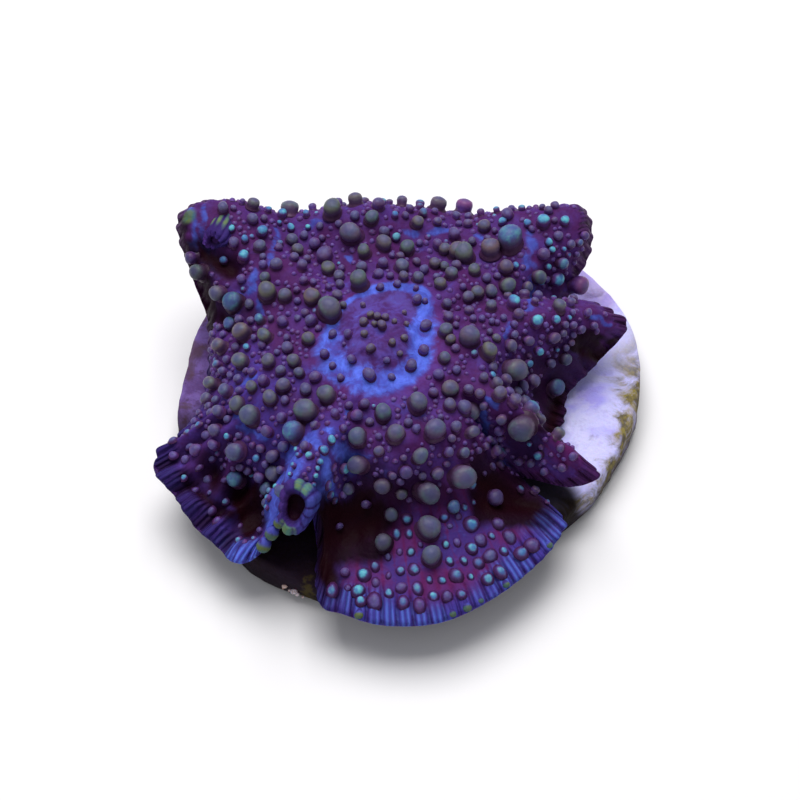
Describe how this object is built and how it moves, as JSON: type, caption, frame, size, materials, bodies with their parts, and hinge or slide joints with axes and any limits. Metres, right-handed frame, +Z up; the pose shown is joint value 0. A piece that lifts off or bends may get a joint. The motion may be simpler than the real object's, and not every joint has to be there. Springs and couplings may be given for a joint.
{
  "type": "mushroom coral",
  "caption": "Fleshy mushroom coral polyp with a lobed, folded disc covered in bubble-like vesicles, grown onto a round frag disc that rests flat.",
  "frame": {"origin": "centre of the frag disc's flat underside", "axes": "+Z up out of the disc, through the polyp; -Y towards the wide low front flap, +X towards the spike"},
  "size_m": [0.0334, 0.0346, 0.0114],
  "materials": {
    "crusted_disc": "rough, crusted with lilac coralline film and olive algae",
    "polyp_flesh": "moist translucent flesh, purple to blue with grey-olive and turquoise bubbles"
  },
  "bodies": {
    "root": {"frag_disc": "crusted_disc", "polyp": "polyp_flesh"}
  },
  "joints": []
}
